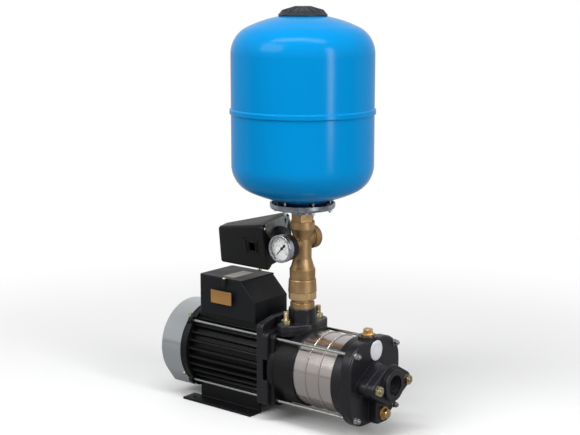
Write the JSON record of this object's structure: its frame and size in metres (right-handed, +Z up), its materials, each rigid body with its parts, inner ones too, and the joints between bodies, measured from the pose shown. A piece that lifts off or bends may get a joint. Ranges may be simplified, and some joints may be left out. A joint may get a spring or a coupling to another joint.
{
  "type": "booster pump set",
  "caption": "Horizontal multistage pump with its motor, carrying a brass manifold, pressure gauge, pressure switch and diaphragm tank.",
  "frame": {"origin": "centre of the foot's bolt pattern, on the floor", "axes": "+X along the shaft towards the suction port, +Y towards the side outlet, +Z up"},
  "size_m": [0.523, 0.2752, 0.7926],
  "materials": {
    "black_painted_foot": "satin black paint on bent steel sheet",
    "black_cast_housing": "satin black paint on the finned casting",
    "bright_sheet": "bright drawn steel sheet",
    "zinc_screws": "bright zinc plate",
    "fan_plastic": "moulded plastic",
    "shaft_steel": "ground steel",
    "lamination_steel": "stacked lamination steel",
    "copper_winding": "varnished copper wire",
    "box_alloy": "satin black paint on die cast alloy",
    "capacitor_can": "white plastic can",
    "gland_plastic": "moulded nylon",
    "black_cast_alloy": "black coat on sand cast alloy",
    "seal_ceramic": "ground ceramic",
    "seal_carbon": "carbon face in a rubber bellows",
    "gasket_rubber": "pressed fibre and rubber sheet",
    "yellow_zinc": "yellow passivated zinc",
    "stage_stainless": "rolled stainless sheet",
    "stage_plastic": "glass filled plastic",
    "plain_brass": "cast and turned brass",
    "spring_steel": "stainless spring wire",
    "gauge_steel": "bright pressed steel",
    "inlet_black": "dark enamel on pressed steel",
    "gauge_white": "white printed plate",
    "pointer_black": "black aluminium",
    "gauge_window": "clear flat pane",
    "zinc_plate": "zinc plated steel",
    "switch_plastic": "moulded black plastic",
    "lever_steel": "bent steel",
    "blue_tank": "glossy blue powder coat",
    "bladder_rubber": "moulded rubber",
    "valve_brass": "turned brass",
    "cap_plastic": "moulded dark grey plastic"
  },
  "bodies": {
    "pump_set": {"motor_foot": "black_painted_foot", "motor_housing": "black_cast_housing", "rear_end_shield": "black_cast_housing", "fan_cover": "bright_sheet", "motor_through_bolts": "zinc_screws", "tie_rod_nuts": "zinc_screws", "tank_bolts": "zinc_screws", "shaft_bearings": "shaft_steel", "stator_core": "lamination_steel", "stator_winding": "copper_winding", "terminal_box": "box_alloy", "terminal_box_lid": "box_alloy", "capacitor": "capacitor_can", "cable_gland": "gland_plastic", "motor_bracket": "black_cast_alloy", "discharge_casing": "black_cast_alloy", "discharge_flange": "black_cast_alloy", "suction_cover": "black_cast_alloy", "suction_flange": "black_cast_alloy", "seal_seat": "seal_ceramic", "flange_gaskets": "gasket_rubber", "flange_nuts": "yellow_zinc", "flange_studs": "yellow_zinc", "cover_screws": "yellow_zinc", "stage_sleeve_1": "stage_stainless", "stage_sleeve_2": "stage_stainless", "stage_sleeve_3": "stage_stainless", "tie_rods": "stage_stainless", "diffusers": "stage_plastic", "union_nipple": "plain_brass", "union_nut": "plain_brass", "check_valve_body": "plain_brass", "five_way_tee": "plain_brass", "tank_nipple": "plain_brass", "check_valve_spring": "spring_steel", "gauge_bezel": "gauge_steel", "switch_inlet": "inlet_black", "gauge_case": "inlet_black", "gauge_dial": "gauge_white", "gauge_glass": "gauge_window", "switch_bracket": "zinc_plate", "counter_flange": "zinc_plate", "switch_base": "switch_plastic", "switch_cover": "switch_plastic", "contact_block": "switch_plastic", "tank_upper_shell": "blue_tank", "tank_lower_shell": "blue_tank", "bladder": "bladder_rubber", "air_valve": "valve_brass"},
    "rotor": {"motor_shaft": "shaft_steel", "rotor_core": "lamination_steel", "cooling_fan": "fan_plastic", "impellers": "stage_plastic", "seal_head": "seal_carbon"},
    "poppet": {"check_valve_poppet": "plain_brass"},
    "needle": {"gauge_pointer": "pointer_black"},
    "lever": {"switch_lever": "lever_steel"},
    "tank_cap": {"top_cover": "cap_plastic"},
    "fill_plug": {"priming_plug": "plain_brass"},
    "drain": {"drain_plug": "plain_brass"}
  },
  "joints": [
    {"name": "rotor_spin", "type": "hinge", "parent": "pump_set", "child": "rotor", "pos_m": [0, 0, 0.105], "axis": [1, 0, 0], "continuous": true},
    {"name": "check_valve_lift", "type": "slide", "parent": "pump_set", "child": "poppet", "axis": [0, 0, 1], "range_m": [0, 0.008], "stiffness_N_per_m": 300, "springref_m": -0.008, "deforming": ["check_valve_spring"]},
    {"name": "gauge_needle", "type": "hinge", "parent": "pump_set", "child": "needle", "pos_m": [0.163, -0.062, 0.344], "axis": [0, 1, 0], "range_deg": [0, 270], "stiffness_Nm_per_rad": 0.002, "springref_deg": -11.46},
    {"name": "switch_rocker", "type": "hinge", "parent": "pump_set", "child": "lever", "pos_m": [0.0804, 0.00347, 0.3203], "axis": [0, 0.9848, 0.1736], "range_deg": [-6, 0], "stiffness_Nm_per_rad": 0.5, "springref_deg": 5.73},
    {"name": "tank_cap_lift", "type": "slide", "parent": "pump_set", "child": "tank_cap", "axis": [0, 0, 1], "range_m": [0, 0.04]},
    {"name": "fill_plug_out", "type": "slide", "parent": "pump_set", "child": "fill_plug", "axis": [0, 0, 1], "range_m": [0, 0.025]},
    {"name": "drain_plug_out", "type": "slide", "parent": "pump_set", "child": "drain", "axis": [1, 0, 0], "range_m": [0, 0.025]}
  ]
}
